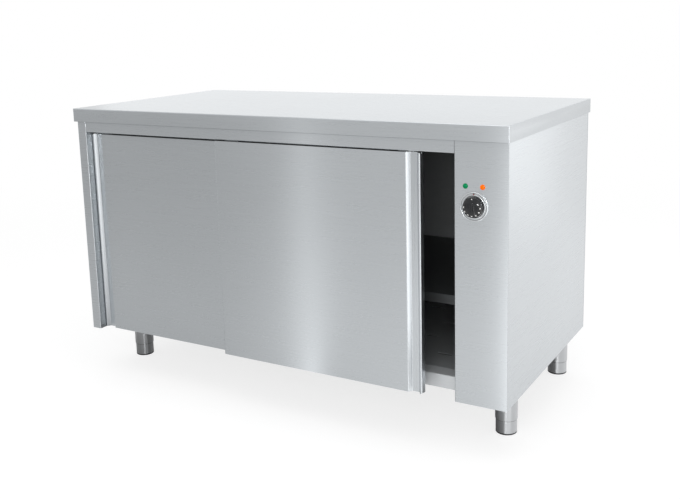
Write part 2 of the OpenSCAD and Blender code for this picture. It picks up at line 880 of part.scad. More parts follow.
// Adjustable foot: a turned cup with a threaded stem
module foot(i) {
    r = foot_d / 2;
    wall = 4;
    color("silver") translate(leg_places[i]) rotate_extrude() {
        difference() {
            union() {
                translate([0, pad_h]) square([r, foot_h - pad_h - 2]);
                translate([0, pad_h]) square([r - 2, foot_h - pad_h]);
                translate([r - 2, foot_h - 2]) circle(2);
            }
            translate([0, pad_h - over]) square([r - wall, foot_h - pad_h - 5 + over]);
        }
        translate([0, foot_h - over]) square([stem_d / 2, nut_z + nut_t + foot_travel + 4 - foot_h]);
    }
}

// Plastic pad pressed into the foot
module pad(i) {
    r = foot_d / 2;
    color("#303234") translate(leg_places[i]) rotate_extrude() {
        square([r - 1.5, pad_h]);
        translate([0, 1.5]) square([r, pad_h - 1.5]);
        translate([r - 1.5, 1.5]) circle(1.5);
        square([r - 4 - gap, pad_h + 8]);
    }
}
module front_left_foot() { foot(0); }
module front_right_foot() { foot(1); }
module rear_left_foot() { foot(2); }
module rear_right_foot() { foot(3); }
module front_left_pad() { pad(0); }
module front_right_pad() { pad(1); }
module rear_left_pad() { pad(2); }
module rear_right_pad() { pad(3); }

// Plate under the pan that carries the door guides
module guide_bracket() {
    y = [y_right_door + fin_y - fin_t / 2 - 1, y_rail + 30];
    color("silver") block([guide_x - fin_len / 2 - 8, guide_x + fin_len / 2 + 8], y,
                          [z_low - bracket_t, z_low]);
}

// Nylon fins that run in the slots under the doors
module guide_fins() {
    color("whitesmoke") for (y = [y_right_door, y_left_door])
        translate([guide_x - fin_len / 2, y + fin_y - fin_t / 2, z_low])
            cube([fin_len, fin_t, fin_h]);
}

// Placing of the two doors: the left one is the mirror image of the right one
module place_right() {
    translate([x_right_door - door_w, y_right_door, door_z]) children();
}
module place_left() {
    translate([x_left_door + door_w, y_left_door, door_z]) mirror([1, 0, 0]) children();
}

// Outer sheet of a door of height door_h, folded round its plain edge, top and bottom
module door_skin(door_h) {
    t = door_sheet;
    back = door_t - t;
    slot_front = fin_y - fin_t / 2 - 1;
    color(steel) {
        linear_extrude(door_h) folded([[t / 2, back], [t / 2, t / 2], [face_w, t / 2]],
                                      t, door_bend_r);
        translate([0, 0, door_h - t]) linear_extrude(t) end_flange(core_t + t);
        linear_extrude(t) end_flange(slot_front);
    }
}

// Flange at a door's upper or lower end, its corner cut to lie inside the bend
module end_flange(reach) {
    t = door_sheet;
    polygon([[t, t + door_bend_r], [t + door_bend_r, t / 2], [face_w, t / 2],
             [face_w, reach], [t, reach]]);
}

// Full-height grip: a folded channel with a lip to pull on
module door_grip(door_h) {
    t = door_sheet;
    h = t / 2;
    x1 = face_w + grip_land;
    x2 = x1 + grip_slope;
    x3 = x2 + grip_floor;
    x4 = x3 + lip_slope;
    color(steel) difference() {
        linear_extrude(door_h) folded([[face_w, h], [x1, h], [x2, grip_depth + h],
            [x3, grip_depth + h], [x4, h], [door_w - h, h], [door_w - h, door_t - t]],
            t, grip_bend_r, fold_lap);
        lip_corner_cut();
        translate([0, 0, door_h]) mirror([0, 0, 1]) lip_corner_cut();
    }
}

// Rounds the lower corner of the lip
module lip_corner_cut() {
    r = lip_corner_r;
    translate([door_w - r, 0, r]) difference() {
        translate([0, -over, -r - over]) cube([r + over, door_t / 2, r + over]);
        translate([0, -2 * over, 0]) rotate([-90, 0, 0]) cylinder(r = r, h = door_t);
    }
}

module door_inner(door_h) {
    color(steel_edge) block([0, door_w], [door_t - door_sheet, door_t], [0, door_h]);
}

module door_core(door_h) {
    t = door_sheet;
    color("khaki") block([t + door_bend_r, face_w], [t, t + core_t], [fin_room, door_h - t]);
}

hanger_places = [hanger_inset, door_w - hanger_inset];

// Plates fixed inside the door that reach up into the track
module door_hangers(door_h) {
    top = axle_z - door_z;
    low = door_h - hanger_depth - top;
    neck_r = 8;
    color("silver") for (x = hanger_places) translate([x, door_t - door_sheet, top])
        rotate([90, 0, 0]) linear_extrude(hanger_t) difference() {
            union() {
                circle(neck_r);
                translate([-neck_r, low]) square([2 * neck_r, -low]);
                translate([-hanger_w / 2, low]) square([hanger_w, hanger_depth + 1.5]);
            }
            circle(d = axle_d + 2 * running_fit);
        }
}

module door_axles() {
    color("silver") for (x = hanger_places) translate([x, hanger_y, axle_z - door_z])
        rotate([90, 0, 0]) for (s = [0, 1]) mirror([0, 0, s]) {
            cylinder(d = axle_d, h = axle_end + axle_head_t);
            translate([0, 0, axle_end]) cylinder(d = axle_head_d, h = axle_head_t);
        }
}

// Pair of nylon rollers on one axle
module rollers(x) {
    chamfer = 1;
    bore = axle_d / 2 + running_fit;
    color("whitesmoke") translate([x, hanger_y, axle_z - door_z]) rotate([90, 0, 0])
        for (s = [0, 1]) mirror([0, 0, s]) translate([0, 0, roller_in]) rotate_extrude()
            polygon([[bore, 0], [roller_r - chamfer, 0], [roller_r, chamfer],
                     [roller_r, roller_w - chamfer], [roller_r - chamfer, roller_w],
                     [bore, roller_w]]);
}

module right_door_skin() { place_right() door_skin(right_door_h); }
module right_door_grip() { place_right() door_grip(right_door_h); }
module right_door_inner() { place_right() door_inner(right_door_h); }
module right_door_core() { place_right() door_core(right_door_h); }
module right_door_hangers() { place_right() door_hangers(right_door_h); }
module right_door_axles() { place_right() door_axles(); }
module right_door_outer_rollers() { place_right() rollers(hanger_places[1]); }
module right_door_inner_rollers() { place_right() rollers(hanger_places[0]); }
module left_door_skin() { place_left() door_skin(left_door_h); }
module left_door_grip() { place_left() door_grip(left_door_h); }
module left_door_inner() { place_left() door_inner(left_door_h); }
module left_door_core() { place_left() door_core(left_door_h); }
module left_door_hangers() { place_left() door_hangers(left_door_h); }
module left_door_axles() { place_left() door_axles(); }
module left_door_outer_rollers() { place_left() rollers(hanger_places[1]); }
module left_door_inner_rollers() { place_left() rollers(hanger_places[0]); }

worktop();
worktop_stiffeners();
left_side_panel();
right_side_panel();
rear_panel();
rear_panel_screws();
control_panel();
fascia();
door_tracks();
track_buffers();
cavity_ceiling();
left_inner_wall();
partition_wall();
rear_inner_wall();
bottom_pan();
front_rail();
heater_cover();
mid_shelf();
shelf_supports();
heating_elements();
heater_brackets();
thermostat();
dial_bezel();
green_lamp();
orange_lamp();
temperature_sensor();
sensor_clips();
terminal_block();
cable_gland();
bonding_terminal();
leg_sleeves();
guide_bracket();
guide_fins();
right_door_skin();
right_door_grip();
right_door_inner();
right_door_core();
right_door_hangers();
right_door_axles();
left_door_skin();
left_door_grip();
left_door_inner();
left_door_core();
left_door_hangers();
left_door_axles();
right_door_outer_rollers();
right_door_inner_rollers();
left_door_outer_rollers();
left_door_inner_rollers();
knob();
thermostat_shaft();
front_left_foot();
front_right_foot();
rear_left_foot();
rear_right_foot();
front_left_pad();
front_right_pad();
rear_left_pad();
rear_right_pad();
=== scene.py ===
"""Dresses a heated plate cabinet: steel finishes, thermostat dial, pilot lamps, screws and stage."""

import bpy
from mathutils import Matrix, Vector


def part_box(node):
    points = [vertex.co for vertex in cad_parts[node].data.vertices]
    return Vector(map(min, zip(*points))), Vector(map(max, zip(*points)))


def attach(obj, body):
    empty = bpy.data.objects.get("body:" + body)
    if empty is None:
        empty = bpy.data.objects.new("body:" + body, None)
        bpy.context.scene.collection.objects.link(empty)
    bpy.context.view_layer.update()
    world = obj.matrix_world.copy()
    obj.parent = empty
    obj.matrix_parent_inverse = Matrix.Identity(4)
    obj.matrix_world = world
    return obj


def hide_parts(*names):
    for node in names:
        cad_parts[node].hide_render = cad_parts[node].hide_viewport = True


bl_info = {
    "name": "Heated Plate Cabinet",
    "version": (1, 0, 0),
    "blender": (4, 5, 0),
    "location": "3D View > Sidebar > Plate Cabinet",
    "description": "Finishes and small fittings of a heated plate cabinet, round its fixed frame",
    "category": "Object",
}

import math

import bpy
from mathutils import Matrix, Vector

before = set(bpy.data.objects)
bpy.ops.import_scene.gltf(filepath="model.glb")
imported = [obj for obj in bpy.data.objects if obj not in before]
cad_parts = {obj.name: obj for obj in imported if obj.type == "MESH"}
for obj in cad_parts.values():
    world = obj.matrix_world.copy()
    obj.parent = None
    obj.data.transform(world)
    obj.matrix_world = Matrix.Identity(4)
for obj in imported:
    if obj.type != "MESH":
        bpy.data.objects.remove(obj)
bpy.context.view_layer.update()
MM = 0.001


def linear(hex_colour):
    """An sRGB hex colour as linear red, green and blue."""
    parts = [int(hex_colour[i:i + 2], 16) / 255 for i in (1, 3, 5)]
    return [p / 12.92 if p <= 0.04045 else ((p + 0.055) / 1.055) ** 2.4 for p in parts]


def middle(node):
    """Middle of a CAD node's box."""
    low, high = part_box(node)
    return (low + high) / 2


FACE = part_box("control_panel")[0].y
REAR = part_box("rear_panel")[1].y
DIAL_AXIS = Vector((middle("knob").x, FACE, middle("knob").z))


class CabinetFinish(bpy.types.PropertyGroup):
    """Colours and roughness of the cabinet's materials"""
    steel: bpy.props.FloatVectorProperty(
        name="Steel", description="Colour of the ground stainless sheet",
        subtype="COLOR", size=3, min=0, max=1, default=linear("#C1C5C8"))
    steel_roughness: bpy.props.FloatProperty(
        name="Steel roughness", description="Roughness of the ground sheet",
        subtype="FACTOR", min=0, max=1, default=0.28)
    inner_steel: bpy.props.FloatVectorProperty(
        name="Inner steel", description="Colour of the sheet inside the heated cavity",
        subtype="COLOR", size=3, min=0, max=1, default=linear("#A8ABAD"))
    dial: bpy.props.FloatVectorProperty(
        name="Dial", description="Colour of the thermostat dial",
        subtype="COLOR", size=3, min=0, max=1, default=linear("#15171A"))
    green_lens: bpy.props.FloatVectorProperty(
        name="Green lens", description="Colour of the mains lamp",
        subtype="COLOR", size=3, min=0, max=1, default=linear("#008552"))
    orange_lens: bpy.props.FloatVectorProperty(
        name="Orange lens", description="Colour of the heating lamp",
        subtype="COLOR", size=3, min=0, max=1, default=linear("#FF7400"))


class CabinetFittings(bpy.types.PropertyGroup):
    """Sizes of the small fittings"""
    dial_radius: bpy.props.FloatProperty(
        name="Dial radius", description="Radius of the dial's drum",
        unit="LENGTH", min=20 * MM, max=26 * MM, default=25 * MM)
    dial_cone: bpy.props.FloatProperty(
        name="Dial cone", description="Height of the cone that carries the numbers",
        unit="LENGTH", min=2 * MM, max=8 * MM, default=5.5 * MM)
    number_height: bpy.props.FloatProperty(
        name="Number height", description="Height of the printed numbers",
        unit="LENGTH", min=2 * MM, max=8 * MM, default=4 * MM)
    grip_length: bpy.props.FloatProperty(
        name="Grip length", description="Length of the dial's grip bar",
        unit="LENGTH", min=20 * MM, max=40 * MM, default=28 * MM)


class CabinetStage(bpy.types.PropertyGroup):
    """Light and surroundings"""
    overhead: bpy.props.FloatProperty(
        name="Overhead light", description="Power of the overhead soft light",
        subtype="POWER", min=0, default=24)
    side: bpy.props.FloatProperty(
        name="Side light", description="Power of the soft light at the back right",
        subtype="POWER", min=0, default=5)
    back: bpy.props.FloatProperty(
        name="Back light", description="Power of the soft light behind the worktop",
        subtype="POWER", min=0, default=8)
    front: bpy.props.FloatProperty(
        name="Front light", description="Power of the soft light beside the camera",
        subtype="POWER", min=0, default=45)


def add(tree, kind, values=(), links=(), **settings):
    """Adds a node: settings are its own, values fill sockets, links join sockets to outputs."""
    node = tree.nodes.new(kind)
    for name, value in settings.items():
        setattr(node, name, value)
    for socket, value in dict(values).items():
        node.inputs[socket].default_value = value
    for socket, (source, output) in dict(links).items():
        tree.links.new(source.outputs[output], node.inputs[socket])
    return node


def bare_tree(owner):
    """The node tree of a material or world, emptied."""
    owner.use_nodes = True
    owner.node_tree.nodes.clear()
    return owner.node_tree


def surface(name, colour, values=()):
    """A material with one Principled surface, its tree and its shader."""
    material = bpy.data.materials.new(name)
    tree = bare_tree(material)
    shader = add(tree, "ShaderNodeBsdfPrincipled", {"Base Color": (*colour, 1), **dict(values)})
    add(tree, "ShaderNodeOutputMaterial", links={"Surface": (shader, "BSDF")})
    return material, tree, shader


# Grain as it is drawn, in millimetres along X, Y and Z. Real scratches are about 0.1 mm wide,
# too fine to show in a picture of the whole cabinet, so they are drawn coarser.
SCRATCH_WIDTH, SCRATCH_LENGTH = 2.5, 166.67
GRAIN_LEVEL = (SCRATCH_LENGTH, SCRATCH_LENGTH, SCRATCH_WIDTH)
GRAIN_ALONG_TOP = (SCRATCH_LENGTH, SCRATCH_WIDTH, SCRATCH_WIDTH)
GRAIN_UPRIGHT = (SCRATCH_WIDTH, SCRATCH_WIDTH, SCRATCH_LENGTH)
TURNING_RINGS = (SCRATCH_LENGTH, SCRATCH_LENGTH, 2)
MILL_STREAKS = (50, 50, 16.67)
ZINC_CLOUDS = (33.33, 33.33, 33.33)
# Size in millimetres of the sheet's slow changes of tone
PATCH = 333.33
GRAIN_CONTRAST, PATCH_CONTRAST, ROUGHNESS_SPREAD = 0.07, 0.03, 0.03
# How far a face has to turn to the side for its painted side shade to begin, and to be full
SIDE_SHADE_BEGINS, SIDE_SHADE_FULL = 0.7, 0.95
# Height of the painted shade line below a joint, where the piece above shades the sheet, and the
# share of its colour that the sheet keeps there
JOINT_SHADE_LINE, JOINT_SHADE_TONE = 1.5 * MM, 0.5


def ground_steel(name, colour, roughness, grain, anisotropic, tangent_axis="Z", turn=0.0,
                 metallic=1.0, side_shade=1.0, joint=None):
    """Stainless sheet ground with a belt: parallel scratches spread light across their run.

    The side shade is the share of its colour that the sheet keeps on faces turned to +X and -X:
    painted shade on those ends.
    The shade joint is the height of a joint with the piece above; from just below it upward the
    sheet is darkened, a painted shade line where the piece above shades it.
    """
    material, tree, shader = surface(name, colour, {
        "Metallic": metallic, "Roughness": roughness,
        "Anisotropic": anisotropic, "Anisotropic Rotation": turn})
    place = add(tree, "ShaderNodeTexCoord")
    run = add(tree, "ShaderNodeMapping", {"Scale": [1 / (size * MM) for size in grain]},
              {"Vector": (place, "Object")})
    scratches = add(tree, "ShaderNodeTexNoise", {"Scale": 1.0, "Detail": 4.0, "Roughness": 0.65},
                    {"Vector": (run, "Vector")})
    tone = add(tree, "ShaderNodeMapRange",
               {"To Min": 1 - GRAIN_CONTRAST, "To Max": 1 + GRAIN_CONTRAST},
               {"Value": (scratches, "Fac")})
    patches = add(tree, "ShaderNodeTexNoise", {"Scale": 1 / (PATCH * MM), "Detail": 2.0},
                  {"Vector": (place, "Object")})
    drift = add(tree, "ShaderNodeMapRange",
                {"To Min": 1 - PATCH_CONTRAST, "To Max": 1 + PATCH_CONTRAST},
                {"Value": (patches, "Fac")})
    share = add(tree, "ShaderNodeMath", links={0: (tone, "Result"), 1: (drift, "Result")},
                operation="MULTIPLY")
    # Painted shade: faces turned to +X and -X are darkened in colour
    if side_shade != 1.0:
        facing = add(tree, "ShaderNodeNewGeometry")
        parts = add(tree, "ShaderNodeSeparateXYZ", links={"Vector": (facing, "Normal")})
        sideways = add(tree, "ShaderNodeMath", links={0: (parts, "X")}, operation="ABSOLUTE")
        side_shade_share = add(tree, "ShaderNodeMapRange",
                   {"From Min": SIDE_SHADE_BEGINS, "From Max": SIDE_SHADE_FULL,
                    "To Min": 1.0, "To Max": side_shade},
                   {"Value": (sideways, "Value")})
        share = add(tree, "ShaderNodeMath", links={0: (share, "Value"), 1: (side_shade_share, "Result")},
                    operation="MULTIPLY")
    # Painted shade: the sheet turns dark just below the joint with the piece above
    if joint is not None:
        level = add(tree, "ShaderNodeSeparateXYZ", links={"Vector": (place, "Object")})
        line = add(tree, "ShaderNodeMapRange",
                   {"From Min": joint - 2 * JOINT_SHADE_LINE, "From Max": joint - JOINT_SHADE_LINE,
                    "To Min": 1.0, "To Max": JOINT_SHADE_TONE},
                   {"Value": (level, "Z")})
        share = add(tree, "ShaderNodeMath", links={0: (share, "Value"), 1: (line, "Result")},
                    operation="MULTIPLY")
    tint = add(tree, "ShaderNodeVectorMath", {0: colour}, {"Scale": (share, "Value")},
               operation="SCALE")
    tree.links.new(tint.outputs["Vector"], shader.inputs["Base Color"])
    rough = add(tree, "ShaderNodeMapRange",
                {"To Min": roughness - ROUGHNESS_SPREAD, "To Max": roughness + ROUGHNESS_SPREAD},
                {"Value": (scratches, "Fac")})
    tree.links.new(rough.outputs["Result"], shader.inputs["Roughness"])
    bump = add(tree, "ShaderNodeBump", {"Strength": 0.15, "Distance": 0.02 * MM},
               {"Height": (scratches, "Fac")})
    tree.links.new(bump.outputs["Normal"], shader.inputs["Normal"])
    tangent = add(tree, "ShaderNodeTangent", direction_type="RADIAL", axis=tangent_axis)
    tree.links.new(tangent.outputs["Tangent"], shader.inputs["Tangent"])
    return material


def plain_metal(name, colour, roughness, grit=0.8):
    """A cast, turned or plated metal with a faint mottle of the given grit in millimetres."""
    material, tree, shader = surface(name, colour, {"Metallic": 1.0, "Roughness": roughness})
    place = add(tree, "ShaderNodeTexCoord")
    mottle = add(tree, "ShaderNodeTexNoise", {"Scale": 1 / (grit * MM), "Detail": 2.0},
                 {"Vector": (place, "Object")})
    rough = add(tree, "ShaderNodeMapRange",
                {"To Min": roughness * 0.8, "To Max": roughness * 1.2},
                {"Value": (mottle, "Fac")})
    tree.links.new(rough.outputs["Result"], shader.inputs["Roughness"])
    bump = add(tree, "ShaderNodeBump", {"Strength": 0.1, "Distance": 0.03 * MM},
               {"Height": (mottle, "Fac")})
    tree.links.new(bump.outputs["Normal"], shader.inputs["Normal"])
    return material


def moulded(name, colour, roughness, grit=0.4, values=()):
    """A moulded polymer with the fine spark-erosion grain of its mould."""
    material, tree, shader = surface(name, colour, {"Roughness": roughness, **dict(values)})
    place = add(tree, "ShaderNodeTexCoord")
    grain = add(tree, "ShaderNodeTexNoise", {"Scale": 1 / (grit * MM), "Detail": 3.0},
                {"Vector": (place, "Object")})
    rough = add(tree, "ShaderNodeMapRange",
                {"To Min": roughness * 0.85, "To Max": roughness * 1.15},
                {"Value": (grain, "Fac")})
    tree.links.new(rough.outputs["Result"], shader.inputs["Roughness"])
    bump = add(tree, "ShaderNodeBump", {"Strength": 0.12, "Distance": 0.03 * MM},
               {"Height": (grain, "Fac")})
    tree.links.new(bump.outputs["Normal"], shader.inputs["Normal"])
    return material


def select_only(piece):
    """Selects one piece and makes it the active one."""
    bpy.ops.object.select_all(action="DESELECT")
    piece.select_set(True)
    bpy.context.view_layer.objects.active = piece


def joined(pieces):
    """Joins pieces into the first of them."""
    select_only(pieces[0])
    for piece in pieces:
        piece.select_set(True)
    bpy.ops.object.join()
    return pieces[0]


def start(name, add_primitive, **settings):
    """Adds a primitive with nothing else selected, and leaves it in edit mode."""
    bpy.ops.object.select_all(action="DESELECT")
    add_primitive(**settings)
    piece = bpy.context.object
    piece.name = piece.data.name = name
    bpy.ops.object.mode_set(mode="EDIT")
    return piece


def pick(test):
    """Selects the vertices of the piece in edit mode that pass a test."""
    bpy.ops.mesh.select_mode(type="VERT")
    bpy.ops.mesh.select_all(action="DESELECT")
    bpy.ops.object.mode_set(mode="OBJECT")
    for vertex in bpy.context.object.data.vertices:
        vertex.select = test(vertex)
    bpy.ops.object.mode_set(mode="EDIT")


def finished(piece, bevel=0.0, angle=30):
    """Leaves edit mode, rounds the sharp edges, applies the place and smooths the shading."""
    bpy.ops.mesh.select_all(action="SELECT")
    bpy.ops.mesh.normals_make_consistent(inside=False)
    bpy.ops.object.mode_set(mode="OBJECT")
    if bevel:
        rounding = piece.modifiers.new("Bevel", "BEVEL")
        rounding.width = bevel
        rounding.segments = 3
        rounding.limit_method = "ANGLE"
        rounding.angle_limit = math.radians(angle)
        bpy.ops.object.modifier_apply(modifier=rounding.name)
    bpy.ops.object.transform_apply(location=True, rotation=True, scale=True)
    bpy.ops.object.shade_smooth_by_angle(angle=math.radians(angle))
    return piece


def turned(name, profile, centre, outward, steps=64, **rounding):
    """Spins a profile of (radius, height) points, in metres, round an axis that points outward."""
    outward = Vector(outward)
    across = outward.orthogonal().normalized()
    places = [centre + r * across + h * outward for r, h in profile]
    piece = start(name, bpy.ops.mesh.primitive_plane_add, size=MM, location=(0, 0, 0))
    bpy.ops.mesh.select_mode(type="VERT")
    bpy.ops.mesh.merge(type="CENTER")
    bpy.ops.transform.translate(value=places[0])
    for here, there in zip(places, places[1:]):
        bpy.ops.mesh.extrude_vertices_move(TRANSFORM_OT_translate={"value": there - here})
    bpy.ops.mesh.select_all(action="SELECT")
    bpy.ops.mesh.spin(steps=steps, angle=2 * math.pi, center=centre, axis=outward)
    bpy.ops.mesh.select_all(action="SELECT")
    bpy.ops.mesh.remove_doubles(threshold=0.005 * MM)
    return finished(piece, **rounding)


def dressed(piece, material, body, slot, *nodes):
    """Gives a piece its material, the body that carries it and the nodes that it stands for."""
    piece.data.materials.clear()
    piece.data.materials.append(material)
    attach(piece, body)
    if nodes:
        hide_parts(*nodes)
    return piece


def bead(middle_radius, half_width, base, points=9):
    """Profile points of a round bead of a half width, standing on a base height."""
    turns = [math.pi * (1 - i / (points - 1)) for i in range(points)]
    return [(middle_radius + half_width * math.cos(a), base + half_width * math.sin(a))
            for a in turns]


def paint_nodes(material, *nodes):
    """Gives CAD nodes a material in their own slots."""
    for name in nodes:
        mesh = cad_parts[name].data
        if not mesh.materials:
            mesh.materials.append(material)
        for i in range(len(mesh.materials)):
            mesh.materials[i] = material


class CABINET_OT_finishes(bpy.types.Operator):
    """Give every CAD node that stays its real finish"""
    bl_idname = "cabinet.finishes"
    bl_label = "Finishes"

    def execute(self, context):
        finish = context.scene.cabinet_finish
        outer_sheet(list(finish.steel), finish.steel_roughness)
        inner_sheet(list(finish.inner_steel))
        legs()
        plated_steel()
        heater_and_thermostat()
        mouldings()
        return {"FINISHED"}


SIDES = ("right", "left")
CORNERS = [f"{end}_{side}" for end in ("front", "rear") for side in SIDES]


def outer_sheet(steel, roughness):
    """Finishes of the body's and the doors' ground sheet."""
    # Grain level: a scratch spreads light up and down, so what it mirrors becomes upright streaks
    # The top edge under the worktop takes a painted shade line
    front = ground_steel("Stainless sheet, grain level", steel, roughness, GRAIN_LEVEL, 0.9,
                         turn=0.25, joint=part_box("control_panel")[1].z)
    doors = [f"{side}_door_{sheet}" for side in SIDES for sheet in ("skin", "inner")]
    paint_nodes(front, "left_side_panel", "right_side_panel", "rear_panel", "control_panel",
                "fascia", *doors)
    # Grain along the worktop: a pale, soft mirror of what is above, and ends darkened by painted
    # shade
    top = ground_steel("Stainless sheet, worktop", steel, roughness, GRAIN_ALONG_TOP, 0.7, "X",
                       side_shade=0.82)
    paint_nodes(top, "worktop", "worktop_stiffeners")
    # Sheet folded along its grain: thin bright lines run down its bends
    folded = ground_steel("Stainless sheet, grain upright", steel, roughness, GRAIN_UPRIGHT, 0.5)
    paint_nodes(folded, "right_door_grip", "left_door_grip")
    # Wiped dull by years of cleaning: pale, with only a soft gloss
    rail = ground_steel("Stainless sheet, dulled by cleaning", linear("#D8DBDD"), 0.4,
                        GRAIN_LEVEL, 0.5, turn=0.25, metallic=0.3)
    paint_nodes(rail, "front_rail")


def inner_sheet(steel):
    """Finishes of the heated cavity's sheet."""
    # As it left the rolling mill: even and dull, with faint streaks
    inner = ground_steel("Stainless sheet, mill finish", steel, 0.5, MILL_STREAKS, 0.0,
                         metallic=0.25)
    paint_nodes(inner, "cavity_ceiling", "left_inner_wall", "partition_wall",
                "rear_inner_wall", "heater_cover", "shelf_supports", "heater_brackets")
    # Nearly black, with a low gloss
    shelf = ground_steel("Stainless sheet, nearly black", linear("#424445"), 0.4, MILL_STREAKS,
                         0.0, metallic=0.4)
    paint_nodes(shelf, "mid_shelf")
    # Zinc that has dulled: cloudy and light grey
    galvanised = ground_steel("Steel sheet, galvanised and dulled", linear("#C4C6C7"), 0.5,
                              ZINC_CLOUDS, 0.0, metallic=0.25)
    paint_nodes(galvanised, "bottom_pan")


def legs():
    """Finishes of the legs: turning rings draw light out along the tube, as upright bands."""
    # The foot takes a painted shade line just below the sleeve's lower end
    tube, foot = (ground_steel(f"Stainless {piece}, turned", linear("#BFC1C3"), 0.36,
                               TURNING_RINGS, 0.9, turn=0.25, joint=joint)
                  for piece, joint in (("tube", None), ("foot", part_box("leg_sleeves")[0].z)))
    paint_nodes(tube, "leg_sleeves")
    paint_nodes(foot, *[f"{corner}_foot" for corner in CORNERS])


def plated_steel():
    """Finishes of the galvanised profiles and the zinc-plated small parts."""
    # Hot-dipped profile: grey, with a coarse mottle
    zinc = plain_metal("Steel profile, galvanised", linear("#A9ACAE"), 0.4, 4)
    paint_nodes(zinc, "door_tracks", "guide_bracket", "right_door_hangers", "left_door_hangers")
    # Electroplated small parts: clear, bright highlights
    bright = plain_metal("Steel, zinc plated", linear("#C4C6C8"), 0.25)
    paint_nodes(bright, "thermostat_shaft", "sensor_clips", "right_door_axles",
                "left_door_axles")


def heater_and_thermostat():
    """Finishes of the bare metals in the heater and the thermostat's line."""
    # Sheath that has glowed: brown grey and dull
    sheath = plain_metal("Heater sheath, oxidised", linear("#5B5753"), 0.5, 2)
    paint_nodes(sheath, "heating_elements")
    # Drawn copper: warm, with soft highlights
    copper = plain_metal("Copper tube", linear("#D0906A"), 0.3)
    paint_nodes(copper, "temperature_sensor")
    # Turned brass: yellow and bright
    brass = plain_metal("Brass", linear("#D4B36A"), 0.28)
    paint_nodes(brass, "bonding_terminal")


def mouldings():
    """Finishes of the plastic and rubber mouldings, and of the doors' filling."""
    # Glass-filled nylon: black, with a soft sheen
    dark = moulded("Polyamide, black", linear("#26282A"), 0.4)
    paint_nodes(dark, "cable_gland", *[f"{corner}_pad" for corner in CORNERS])
    # Undyed nylon: warm white and half matt
    pale = moulded("Polyamide, natural", linear("#E4E1D8"), 0.45)
    paint_nodes(pale, "guide_fins", "terminal_block", "thermostat",
                *[f"{side}_door_{place}_rollers" for side in SIDES
                  for place in ("outer", "inner")])
    # Vulcanised rubber: black and matt
    rubber = moulded("Rubber, black", linear("#1B1C1C"), 0.7)
    paint_nodes(rubber, "track_buffers")
    # Loose mineral fibre: yellow brown, with no gloss
    wool = moulded("Mineral wool", linear("#B8A45E"), 0.95, 1.5)
    paint_nodes(wool, "right_door_core", "left_door_core")


# Heights in front of the control face: the dial's back, its flat face and its bar's end
DIAL_BACK, DIAL_FACE, BAR_END = 2 * MM, 18 * MM, 22 * MM
# Each number's turn in degrees from the index mark, anticlockwise as seen from the front
NUMBERS = {0: "0", **{90 + 30 * i: str(30 + 10 * i) for i in range(7)}}
TO_FRONT = (0, -1, 0)
# Height of the plate that the dial's ring stands on, and the ring's bead sizes
RING_PLATE, RING_RIM, RING_BEAD = 1.2 * MM, 2.3 * MM, 2.5 * MM
# Radius at which the index mark's black turns into its red tip
TIP_RADIUS = 31 * MM


def dial_knob(fittings):
    """Drum with a cone for the numbers, bored from behind for its shaft."""
    r, cone = fittings.dial_radius, fittings.dial_cone
    hub = r / 2
    low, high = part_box("thermostat_shaft")
    clearance, end_room = 0.1 * MM, MM
    bore = (high.x - low.x) / 2 + clearance
    shaft_end = FACE - low.y + end_room
    nut_room, nut_height = 6.5 * MM, 5.5 * MM
    back_edge, rim_edge = MM, 0.8 * MM
    profile = [(0, shaft_end), (bore, shaft_end), (bore, nut_height), (nut_room, nut_height),
               (nut_room, DIAL_BACK), (r - back_edge, DIAL_BACK), (r, DIAL_BACK + back_edge),
               (r, DIAL_FACE - cone - rim_edge), (r - rim_edge, DIAL_FACE - cone),
               (hub, DIAL_FACE), (0, DIAL_FACE)]
    return turned("dial_drum", profile, DIAL_AXIS, TO_FRONT, steps=96, bevel=0.3 * MM)


def dial_bar(fittings):
    """Grip bar across the drum, smaller at its front and pinched at its middle."""
    long = fittings.grip_length
    wide, sunk = 11 * MM, MM
    front_share, pinch, pinch_depth = (0.5, 1, 0.8), (0.72, 1, 1), 5 * MM
    bar = start("dial_grip_bar", bpy.ops.mesh.primitive_cube_add, size=1,
                location=DIAL_AXIS + Vector((0, -(DIAL_FACE + BAR_END) / 2 + sunk / 2, 0)))
    bpy.ops.transform.resize(value=(wide, BAR_END - DIAL_FACE + sunk, long))
    bpy.ops.mesh.subdivide(number_cuts=5)
    bpy.ops.object.mode_set(mode="OBJECT")
    bpy.ops.object.transform_apply(location=True, rotation=True, scale=True)
    bpy.ops.object.mode_set(mode="EDIT")
    front = FACE - BAR_END
    pick(lambda v: v.co.y < front + 0.1 * MM)
    bpy.ops.transform.resize(value=front_share)
    pick(lambda v: abs(v.co.z - DIAL_AXIS.z) < long / 4 and v.co.y < front + pinch_depth)
    bpy.ops.transform.resize(value=pinch)
    return finished(bar, bevel=0.8 * MM, angle=35)


def dial_numbers(fittings):
    """Numbers printed round the cone, each with its foot towards the middle."""
    hub = fittings.dial_radius / 2
    ring = fittings.dial_radius - 1.1 * fittings.number_height
    slope = math.atan2(fittings.dial_cone, hub)
    cone_height = DIAL_FACE - fittings.dial_cone * (ring - hub) / hub
    print_thickness, print_lift, boldness = 0.03 * MM, 0.04 * MM, 0.14 * MM
    numbers = []
    for turn, words in NUMBERS.items():
        bpy.ops.object.select_all(action="DESELECT")
        bpy.ops.object.text_add()
        text = bpy.context.object.data
        text.body = words
        text.align_x = text.align_y = "CENTER"
        text.size = fittings.number_height
        text.extrude = print_thickness
        text.offset = boldness
        text.resolution_u = 3
        bpy.ops.object.convert(target="MESH")
        number = bpy.context.object
        place = (Matrix.Translation(DIAL_AXIS) @ Matrix.Rotation(-math.radians(turn), 4, "Y")
                 @ Matrix.Translation((0, -cone_height - print_lift, ring))
                 @ Matrix.Rotation(math.pi / 2 - slope, 4, "X"))
        number.data.transform(place)
        numbers.append(number)
    whole = joined(numbers)
    whole.name = whole.data.name = "dial_numbers"
    return whole


